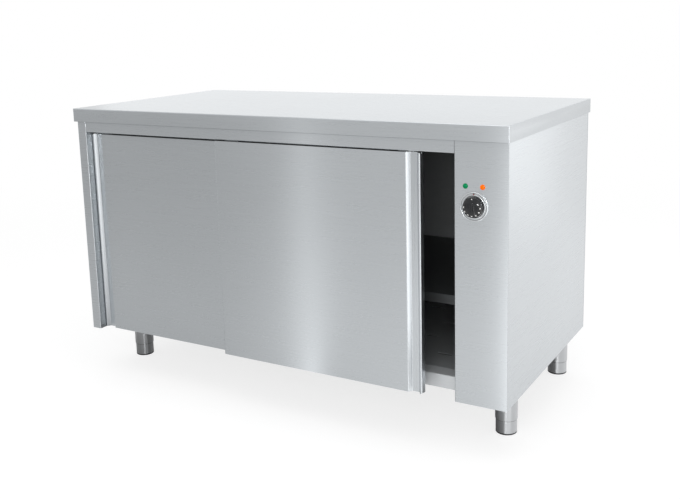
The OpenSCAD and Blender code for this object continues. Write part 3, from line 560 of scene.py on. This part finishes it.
def dial_ring(fittings, radius):
    """Ring round the dial: a plate with a bead at its edge and one beside the drum."""
    shaft_room, drum_gap, flattening = 5.3 * MM, 0.7 * MM, 0.2 * MM
    rim = bead(radius - RING_RIM, RING_RIM, RING_PLATE)
    inner = bead(fittings.dial_radius + drum_gap + RING_BEAD, RING_BEAD - flattening, RING_PLATE)
    profile = [(shaft_room, 0), (radius, 0), *reversed(rim), *reversed(inner),
               (shaft_room, RING_PLATE), (shaft_room, 0)]
    return turned("dial_ring", profile, DIAL_AXIS, TO_FRONT, steps=96)


def dial_index(radius):
    """Three-sided mark on the ring, over the drum, which points at the numbers."""
    size, thickness, height, inset = 3 * MM, 1.1 * MM, 3.2 * MM, 5 * MM
    mark = start("dial_index", bpy.ops.mesh.primitive_cylinder_add, vertices=3, radius=size,
                 depth=thickness, rotation=(math.pi / 2, math.pi, 0),
                 location=DIAL_AXIS + Vector((0, -height, radius - inset)))
    bpy.ops.transform.resize(value=(0.8, 1, 1.3))
    return finished(mark, bevel=0.25 * MM)


def index_enamel():
    """Stoved enamel: a black mark with a red tip that points at the numbers."""
    black, red, blend = linear("#202022"), linear("#C8281E"), 0.2 * MM
    material, tree, shader = surface("Stoved enamel, black and red", black, {"Roughness": 0.25})
    place = add(tree, "ShaderNodeTexCoord")
    height = add(tree, "ShaderNodeSeparateXYZ", links={"Vector": (place, "Object")})
    border = DIAL_AXIS.z + TIP_RADIUS
    share = add(tree, "ShaderNodeMapRange", {"From Min": border - blend, "From Max": border + blend},
                {"Value": (height, "Z")})
    paint = add(tree, "ShaderNodeMix", {"A": (*red, 1), "B": (*black, 1)}, data_type="RGBA")
    tree.links.new(share.outputs["Result"], paint.inputs["Factor"])
    tree.links.new(paint.outputs["Result"], shader.inputs["Base Color"])
    return material


class CABINET_OT_dial(bpy.types.Operator):
    """Make the thermostat's dial, its numbers, its ring and the ring's index mark"""
    bl_idname = "cabinet.dial"
    bl_label = "Dial"

    def execute(self, context):
        fittings = context.scene.cabinet_fittings
        # Pressed phenolic: deep black under a clear skin, with small sharp highlights
        phenolic = moulded("Phenolic moulding, black", list(context.scene.cabinet_finish.dial),
                           0.15, 0.5, {"Specular IOR Level": 0.35, "Coat Weight": 0.25,
                                       "Coat Roughness": 0.1})
        # White ink with a painted glow: its emission keeps it white where the moulding round it goes
        # dark
        glowing_ink = moulded("Pad print, white, painted glow", linear("#F8F8F4"), 0.5, values={
            "Emission Color": (1, 1, 1, 1), "Emission Strength": 0.3})
        dressed(dial_knob(fittings), phenolic, "knob", "black_plastic", "knob")
        dressed(dial_bar(fittings), phenolic, "knob", "black_plastic")
        dressed(dial_numbers(fittings), glowing_ink, "knob", "pale_plastic")

        # Satin chrome on a die casting: soft light rings on its beads
        chrome = plain_metal("Zinc die casting, satin chrome", linear("#C6C9CB"), 0.3)
        low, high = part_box("dial_bezel")
        radius = (high.x - low.x) / 2
        dressed(dial_ring(fittings, radius), chrome, "cabinet", "bright_metal", "dial_bezel")
        dressed(dial_index(radius), index_enamel(), "cabinet", "black_plastic")
        return {"FINISHED"}


class CABINET_OT_lamps(bpy.types.Operator):
    """Make the two pilot lamps, each a holder behind the face and a stepped lens in front"""
    bl_idname = "cabinet.lamps"
    bl_label = "Pilot lamps"

    def execute(self, context):
        finish = context.scene.cabinet_finish
        # White nylon moulding, only seen from inside: warm white and half matt
        white = moulded("Polyamide, white, lamp holder", linear("#DAD8D0"), 0.5)
        for colour, tint in (("green", finish.green_lens), ("orange", finish.orange_lens)):
            node = f"{colour}_lamp"
            dressed(lamp_holder(f"{node}_holder", node), white, "cabinet", "pale_plastic", node)
            dressed(lamp_lens(f"{node}_lens", node),
                    dyed_lens(f"Polycarbonate lens, {colour}", list(tint)),
                    "cabinet", f"{colour}_lens")
        return {"FINISHED"}


def lamp_axis(node):
    """Where a lamp's axis meets the control face."""
    return Vector((middle(node).x, FACE, middle(node).z))


def lamp_holder(name, node):
    """Round body behind the face, with a chamfered end."""
    radius, chamfer = 5 * MM, 0.8 * MM
    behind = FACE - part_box(node)[1].y
    profile = [(0, behind), (radius - chamfer, behind), (radius, behind + chamfer), (radius, 0),
               (0, 0)]
    return turned(name, profile, lamp_axis(node), TO_FRONT, steps=32)


def lamp_lens(name, node):
    """Lens with a flat rim, a groove and a dome."""
    low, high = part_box(node)
    r, proud = (high.x - low.x) / 2, FACE - low.y
    seam, rim, rim_edge, groove = 0.1 * MM, 1.5 * MM, 0.5 * MM, 1.2 * MM
    dome_r = 0.72 * r
    dome = [(dome_r * math.cos(a), rim + (proud - rim) * math.sin(a))
            for a in [math.pi / 2 * i / 6 for i in range(7)]]
    profile = [(0, seam), (r, seam), (r, 0.9 * MM), (r - rim_edge, 1.4 * MM), (0.8 * r, rim),
               (0.76 * r, groove), *dome[:-1], (0, proud)]
    return turned(name, profile, lamp_axis(node), TO_FRONT, steps=40, angle=40)


def dyed_lens(name, colour):
    """Dyed polycarbonate: gloss outside, deep colour, lighter where its facets are thin."""
    facet = 2.2
    material, tree, shader = surface(name, colour, {
        "Roughness": 0.2, "Specular IOR Level": 0.1, "IOR": 1.58,
        "Emission Strength": 0.35, "Emission Color": (*colour, 1)})
    place = add(tree, "ShaderNodeTexCoord")
    facets = add(tree, "ShaderNodeTexVoronoi", {"Scale": 1 / (facet * MM)},
                 {"Vector": (place, "Object")})
    tone = add(tree, "ShaderNodeMapRange", {"From Max": 0.7, "To Min": 1.25, "To Max": 0.65},
               {"Value": (facets, "Distance")})
    tint = add(tree, "ShaderNodeVectorMath", {0: colour}, {"Scale": (tone, "Result")},
               operation="SCALE")
    tree.links.new(tint.outputs["Vector"], shader.inputs["Base Color"])
    bump = add(tree, "ShaderNodeBump", {"Strength": 0.4, "Distance": 0.2 * MM},
               {"Height": (facets, "Distance")})
    tree.links.new(bump.outputs["Normal"], shader.inputs["Normal"])
    return material


class CABINET_OT_screws(bpy.types.Operator):
    """Make the rear panel's pan-head screws, with cross recesses"""
    bl_idname = "cabinet.screws"
    bl_label = "Rear screws"

    def execute(self, context):
        seats = screw_seats(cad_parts["rear_panel_screws"].data)
        model = pan_head(seats[0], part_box("rear_panel_screws")[1].y - REAR)
        heads = [model]
        for seat in seats[1:]:
            select_only(model)
            bpy.ops.object.duplicate(linked=False)
            copy = bpy.context.object
            copy.location = seat - seats[0]
            bpy.ops.object.transform_apply(location=True, rotation=False, scale=False)
            heads.append(copy)
        # Zinc plate on a pressed head: small bright highlights
        zinc = plain_metal("Steel screw, zinc plated", linear("#C9CBCB"), 0.25)
        dressed(joined(heads), zinc, "cabinet", "bright_metal", "rear_panel_screws")
        return {"FINISHED"}


def screw_seats(mesh):
    """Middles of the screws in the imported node, on the rear panel's outer face."""
    one_screw = 10 * MM
    seats = []
    for vertex in mesh.vertices:
        place = Vector((vertex.co.x, REAR, vertex.co.z))
        near = [s for s in seats if (s[0] - place).length < one_screw]
        if near:
            near[0][1] = [min(a, b) for a, b in zip(near[0][1], place)]
            near[0][2] = [max(a, b) for a, b in zip(near[0][2], place)]
        else:
            seats.append([place, list(place), list(place)])
    return [(Vector(low) + Vector(high)) / 2 for _, low, high in seats]


def pan_head(seat, reach):
    """A domed screw head with its shank, and a cross recess cut into it."""
    r, rim, shank_r, shank_end = 4 * MM, 0.7 * MM, 2 * MM, -1.2 * MM
    recess_length, recess_depth, recess_width = 4.4 * MM, 2.4 * MM, 0.9 * MM
    dome = [(r * math.cos(a), rim + (reach - rim) * math.sin(a))
            for a in [math.pi / 2 * i / 6 for i in range(7)]]
    head = turned("rear_screw_heads",
                  [(0, shank_end), (shank_r, shank_end), (shank_r, 0), (r, 0), *dome[:-1],
                   (0, reach)], seat, (0, 1, 0), steps=24)
    for turn in (0, math.pi / 2):
        cutter = start("recess", bpy.ops.mesh.primitive_cube_add, size=1,
                       location=seat + Vector((0, reach, 0)), rotation=(0, turn, 0))
        bpy.ops.object.mode_set(mode="OBJECT")
        cutter.scale = (recess_length, recess_depth, recess_width)
        bpy.ops.object.transform_apply(location=True, rotation=True, scale=True)
        select_only(head)
        cut = head.modifiers.new("Recess", "BOOLEAN")
        cut.object = cutter
        cut.operation = "DIFFERENCE"
        cut.solver = "EXACT"
        bpy.ops.object.modifier_apply(modifier=cut.name)
        bpy.data.objects.remove(cutter)
    return head


# Camera fitted to the photograph, in millimetres, degrees and pixels of a 680 x 499 picture
PICTURE = (680, 499)
EYE = Vector((1393.7, -2300.5, 1104.6)) * MM
HEADING, PITCH, ROLL = (math.radians(a) for a in (-30.408, 10.351, -1.482))
FOCAL_PX = 893.8
CENTRE_PX = (341.2, 180.5)
SENSOR_MM = 36


def photo_camera():
    """The camera at the photograph's place, angle and framing."""
    ahead = Vector((math.sin(HEADING) * math.cos(PITCH), math.cos(HEADING) * math.cos(PITCH),
                    -math.sin(PITCH)))
    level = Vector((math.cos(HEADING), -math.sin(HEADING), 0))
    above = level.cross(ahead)
    right = math.cos(ROLL) * level + math.sin(ROLL) * above
    up = math.cos(ROLL) * above - math.sin(ROLL) * level
    bpy.ops.object.camera_add()
    camera = bpy.context.object
    camera.matrix_world = Matrix.Translation(EYE) @ Matrix((right, up, -ahead)).transposed().to_4x4()
    lens = camera.data
    lens.sensor_width = SENSOR_MM
    lens.sensor_fit = "HORIZONTAL"
    lens.lens = FOCAL_PX * SENSOR_MM / PICTURE[0]
    lens.shift_x = (PICTURE[0] / 2 - CENTRE_PX[0]) / PICTURE[0]
    lens.shift_y = (CENTRE_PX[1] - PICTURE[1] / 2) / PICTURE[0]
    lens.clip_end = 100
    return camera


def soft_light(name, place, target, size, power, mirrored=True):
    """A rectangular soft light that faces a target, and that metal may or may not mirror."""
    bpy.ops.object.light_add(type="AREA", location=place)
    lamp = bpy.context.object
    lamp.name = name
    lamp.rotation_euler = (Vector(target) - Vector(place)).to_track_quat("-Z", "Y").to_euler()
    lamp.data.shape = "RECTANGLE"
    lamp.data.size, lamp.data.size_y = size
    lamp.data.energy = power
    lamp.visible_camera = False
    lamp.visible_glossy = mirrored
    return lamp


def seen_rays(tree):
    """1 for rays from the camera and for those mirrored or let through by the object."""
    path = add(tree, "ShaderNodeLightPath")
    two = add(tree, "ShaderNodeMath", links={0: (path, "Is Camera Ray"), 1: (path, "Is Glossy Ray")},
              operation="ADD", use_clamp=True)
    return add(tree, "ShaderNodeMath",
               links={0: (two, "Value"), 1: (path, "Is Transmission Ray")},
               operation="ADD", use_clamp=True)


# The card that the doors mirror: places along it in metres, and how bright it is there
CARD_TONES = ((-2.4, 0.52), (-0.95, 0.53), (-0.62, 0.63), (-0.53, 0.84), (-0.49, 1.3),
              (-0.45, 0.82), (-0.38, 0.67), (0.0, 0.72), (0.30, 0.72), (0.35, 0.75),
              (0.39, 2.0), (0.46, 2.0), (0.52, 0.75), (0.9, 0.75))
CARD_Y, CARD_HEIGHT, CARD_FOOT_Y = -1.3, 1.8, -0.42
# The card is brighter near the floor, and an even grey above the worktop's height
CARD_FLOOR_GAIN, CARD_GAIN_ENDS = 1.4, 0.5
CARD_TOP_TONE, CARD_TOP_FROM, CARD_TOP_FULL = 0.85, 0.8, 0.9
# Where a mirror in the doors' plane would put the camera
MIRRORED_EYE_Y = 2 * FACE - EYE.y
# Height of the cards that lie on the floor
ON_FLOOR = 2 * MM
# The floor's own glow for seen rays, and the distances over which it fades to white
FLOOR_GLOW, FADE_FROM, FADE_TO = 0.75, 1.6, 4.0
# Strength of the surroundings as light on the object, and as they are seen
WORLD_LIGHT, WORLD_SEEN = 0.6, 1.0


def card_paper(name):
    """A card's material, which glows on its face and is clear from behind, and its glow."""
    paper = bpy.data.materials.new(name)
    tree = bare_tree(paper)
    glow = add(tree, "ShaderNodeEmission", {"Color": (1, 1, 1, 1)})
    clear = add(tree, "ShaderNodeBsdfTransparent")
    side = add(tree, "ShaderNodeNewGeometry")
    both = add(tree, "ShaderNodeMixShader", links={
        0: (side, "Backfacing"), 1: (glow, "Emission"), 2: (clear, "BSDF")})
    add(tree, "ShaderNodeOutputMaterial", links={"Surface": (both, "Shader")})
    return paper, tree, glow


def glossy_card(name, **place):
    """A plane that only reflections show, left in edit mode."""
    card = start(name, bpy.ops.mesh.primitive_plane_add, size=1, **place)
    card.visible_camera = False
    card.visible_diffuse = False
    card.visible_shadow = False
    card.visible_transmission = False
    return card


def staged(card, paper):
    """Leaves edit mode, applies the card's place and gives it its paper."""
    bpy.ops.object.mode_set(mode="OBJECT")
    bpy.ops.object.transform_apply(location=True, rotation=True, scale=True)
    card.data.materials.append(paper)


def plain_card(name, strength, size, **place):
    """An even card: a bright one shows as light lines along bends; a dim one is painted shade,
    standing for the floor's shadow under the body where the legs mirror it.
    """
    card = glossy_card(name, **place)
    bpy.ops.transform.resize(value=size)
    paper, _, glow = card_paper(f"Paper, {name}")
    glow.inputs["Strength"].default_value = strength
    staged(card, paper)


def doors_card():
    """An upright graded card in front of the doors, with a foot on the floor towards them."""
    first, last = CARD_TONES[0][0], CARD_TONES[-1][0]
    gap = 10 * MM
    card = glossy_card("graded card", rotation=(-math.pi / 2, 0, 0),
                       location=((first + last) / 2, CARD_Y, CARD_HEIGHT / 2))
    bpy.ops.transform.resize(value=(last - first, 1, CARD_HEIGHT - gap))
    pick(lambda v: v.co.y > 0)
    bpy.ops.mesh.extrude_region_move(TRANSFORM_OT_translate={"value": (0, CARD_FOOT_Y - CARD_Y, 0)})
    staged(card, graded_paper(first, last))


def graded_paper(first, last):
    """The graded card's material, whose tones run from its first place to its last."""
    paper, tree, glow = card_paper("Paper, graded card")
    place = add(tree, "ShaderNodeTexCoord")
    at = add(tree, "ShaderNodeSeparateXYZ", links={"Vector": (place, "Object")})
    # A place on the foot takes the tone of the card behind it, as the mirrored camera sees it
    aside = add(tree, "ShaderNodeMath", {1: EYE.x}, {0: (at, "X")}, operation="SUBTRACT")
    depth = add(tree, "ShaderNodeMath", {0: MIRRORED_EYE_Y}, {1: (at, "Y")}, operation="SUBTRACT")
    slope = add(tree, "ShaderNodeMath", links={0: (aside, "Value"), 1: (depth, "Value")},
                operation="DIVIDE")
    along = add(tree, "ShaderNodeMath", {1: MIRRORED_EYE_Y - CARD_Y, 2: EYE.x},
                {0: (slope, "Value")}, operation="MULTIPLY_ADD")
    share = add(tree, "ShaderNodeMapRange", {"From Min": first, "From Max": last},
                {"Value": (along, "Value")})
    ramp = add(tree, "ShaderNodeValToRGB", links={"Fac": (share, "Result")})
    stops = ramp.color_ramp.elements
    while len(stops) < len(CARD_TONES):
        stops.new(0.5)
    for stop, (x, tone) in zip(stops, CARD_TONES):
        stop.position = (x - first) / (last - first)
        stop.color = (tone, tone, tone, 1)
    above = add(tree, "ShaderNodeMapRange", {"From Min": CARD_TOP_FROM, "From Max": CARD_TOP_FULL},
                {"Value": (at, "Z")})
    even = add(tree, "ShaderNodeMix",
               {"B": (CARD_TOP_TONE, CARD_TOP_TONE, CARD_TOP_TONE, 1)},
               {"Factor": (above, "Result"), "A": (ramp, "Color")}, data_type="RGBA")
    gain = add(tree, "ShaderNodeMapRange",
               {"From Max": CARD_GAIN_ENDS, "To Min": CARD_FLOOR_GAIN, "To Max": 1.0},
               {"Value": (at, "Z")})
    tree.links.new(even.outputs["Result"], glow.inputs["Color"])
    tree.links.new(gain.outputs["Result"], glow.inputs["Strength"])
    return paper


def white_floor():
    """Matt white paper that fades into a white background and keeps the cabinet's shadow."""
    bpy.ops.object.select_all(action="DESELECT")
    bpy.ops.mesh.primitive_plane_add(size=40, location=(0, 0, 0))
    floor = bpy.context.object
    floor.name = "floor"
    paper = bpy.data.materials.new("Paper, white")
    tree = bare_tree(paper)
    matt = add(tree, "ShaderNodeBsdfDiffuse", {"Color": (*linear("#9B9B9B"), 1)})
    glow = add(tree, "ShaderNodeEmission", {"Color": (1, 1, 1, 1)})
    seen = seen_rays(tree)
    level = add(tree, "ShaderNodeMath", {1: FLOOR_GLOW}, {0: (seen, "Value")},
                operation="MULTIPLY")
    tree.links.new(level.outputs["Value"], glow.inputs["Strength"])
    near = add(tree, "ShaderNodeAddShader", links={0: (matt, "BSDF"), 1: (glow, "Emission")})
    place = add(tree, "ShaderNodeTexCoord")
    reach = add(tree, "ShaderNodeVectorMath", links={0: (place, "Object")}, operation="LENGTH")
    far = add(tree, "ShaderNodeMapRange", {"From Min": FADE_FROM, "From Max": FADE_TO},
              {"Value": (reach, "Value")}, interpolation_type="SMOOTHSTEP")
    away = add(tree, "ShaderNodeMath", links={0: (far, "Result"), 1: (seen, "Value")},
               operation="MULTIPLY")
    white = add(tree, "ShaderNodeEmission", {"Color": (1, 1, 1, 1), "Strength": 1.0})
    fade = add(tree, "ShaderNodeMixShader", links={
        0: (away, "Value"), 1: (near, "Shader"), 2: (white, "Emission")})
    add(tree, "ShaderNodeOutputMaterial", links={"Surface": (fade, "Shader")})
    floor.data.materials.append(paper)


def white_surroundings(scene):
    """An even white room, which lights the object less than it shows."""
    scene.world = bpy.data.worlds.new("Studio")
    tree = bare_tree(scene.world)
    seen = seen_rays(tree)
    fill = add(tree, "ShaderNodeMapRange", {"To Min": WORLD_LIGHT, "To Max": WORLD_SEEN},
               {"Value": (seen, "Value")})
    back = add(tree, "ShaderNodeBackground", {"Color": (1, 1, 1, 1)},
               {"Strength": (fill, "Result")})
    add(tree, "ShaderNodeOutputWorld", links={"Surface": (back, "Background")})


class CABINET_OT_stage(bpy.types.Operator):
    """Add the floor, the soft lights, the background and the photograph's camera"""
    bl_idname = "cabinet.stage"
    bl_label = "Stage"

    def execute(self, context):
        scene = context.scene
        light = scene.cabinet_stage
        white_floor()
        white_surroundings(scene)
        soft_light("overhead softbox", (0.3, -0.6, 3.2), (0, 0, 0.6), (3.0, 2.4), light.overhead)
        soft_light("side softbox", (1.9, 1.5, 1.0), (0.7, 0, 0.4), (1.6, 1.8), light.side)
        soft_light("back softbox", (-1.2, 3.4, 1.4), (0, 0, 0.85), (5.0, 1.6), light.back)
        soft_light("front softbox", (1.4, -3.3, 1.5), (0.3, 0, 0.5), (2.0, 2.0), light.front,
                   mirrored=False)
        doors_card()
        plain_card("right card", 2.2, (1, 0.62, 0.84), rotation=(0, -math.pi / 2, 0),
                   location=(1.1, -0.69, 0.43))
        plain_card("camera card", 60, (0.36, 1, 0.3), rotation=(-math.pi / 2, 0, 0),
                   location=(1.45, -2.76, 1.18))
        plain_card("side card", 1.1, (1.8, 2.2, 1), location=(1.77, 1.2, ON_FLOOR))
        # Painted shade: a dim card under the body stands for the floor's shadow there, which the
        # legs mirror
        plain_card("under-body shade card", 0.12, (1.6, 0.8, 1), location=(-0.17, -0.04, ON_FLOOR))
        scene.camera = photo_camera()
        scene.view_settings.view_transform = "Standard"
        return {"FINISHED"}


class CABINET_PT_panel(bpy.types.Panel):
    """Sizes, colours and building steps of the cabinet"""
    bl_idname = "CABINET_PT_panel"
    bl_label = "Plate Cabinet"
    bl_space_type = "VIEW_3D"
    bl_region_type = "UI"
    bl_category = "Plate Cabinet"

    def draw(self, context):
        for group in (context.scene.cabinet_finish, context.scene.cabinet_fittings,
                      context.scene.cabinet_stage):
            for key in group.__annotations__:
                self.layout.prop(group, key)
        for step in STEPS:
            self.layout.operator(step.bl_idname)


STEPS = (CABINET_OT_finishes, CABINET_OT_dial, CABINET_OT_lamps, CABINET_OT_screws,
         CABINET_OT_stage)
CLASSES = (CabinetFinish, CabinetFittings, CabinetStage, *STEPS, CABINET_PT_panel)


def register():
    """Registers the classes and hangs their settings on the scene."""
    for cls in CLASSES:
        bpy.utils.register_class(cls)
    bpy.types.Scene.cabinet_finish = bpy.props.PointerProperty(type=CabinetFinish)
    bpy.types.Scene.cabinet_fittings = bpy.props.PointerProperty(type=CabinetFittings)
    bpy.types.Scene.cabinet_stage = bpy.props.PointerProperty(type=CabinetStage)


def unregister():
    """Undoes what register does."""
    del bpy.types.Scene.cabinet_stage
    del bpy.types.Scene.cabinet_fittings
    del bpy.types.Scene.cabinet_finish
    for cls in reversed(CLASSES):
        bpy.utils.unregister_class(cls)


def main():
    """Makes every piece and the stage."""
    register()
    for step in STEPS:
        group, name = step.bl_idname.split(".")
        getattr(getattr(bpy.ops, group), name)()


if __name__ == "__main__":
    main()
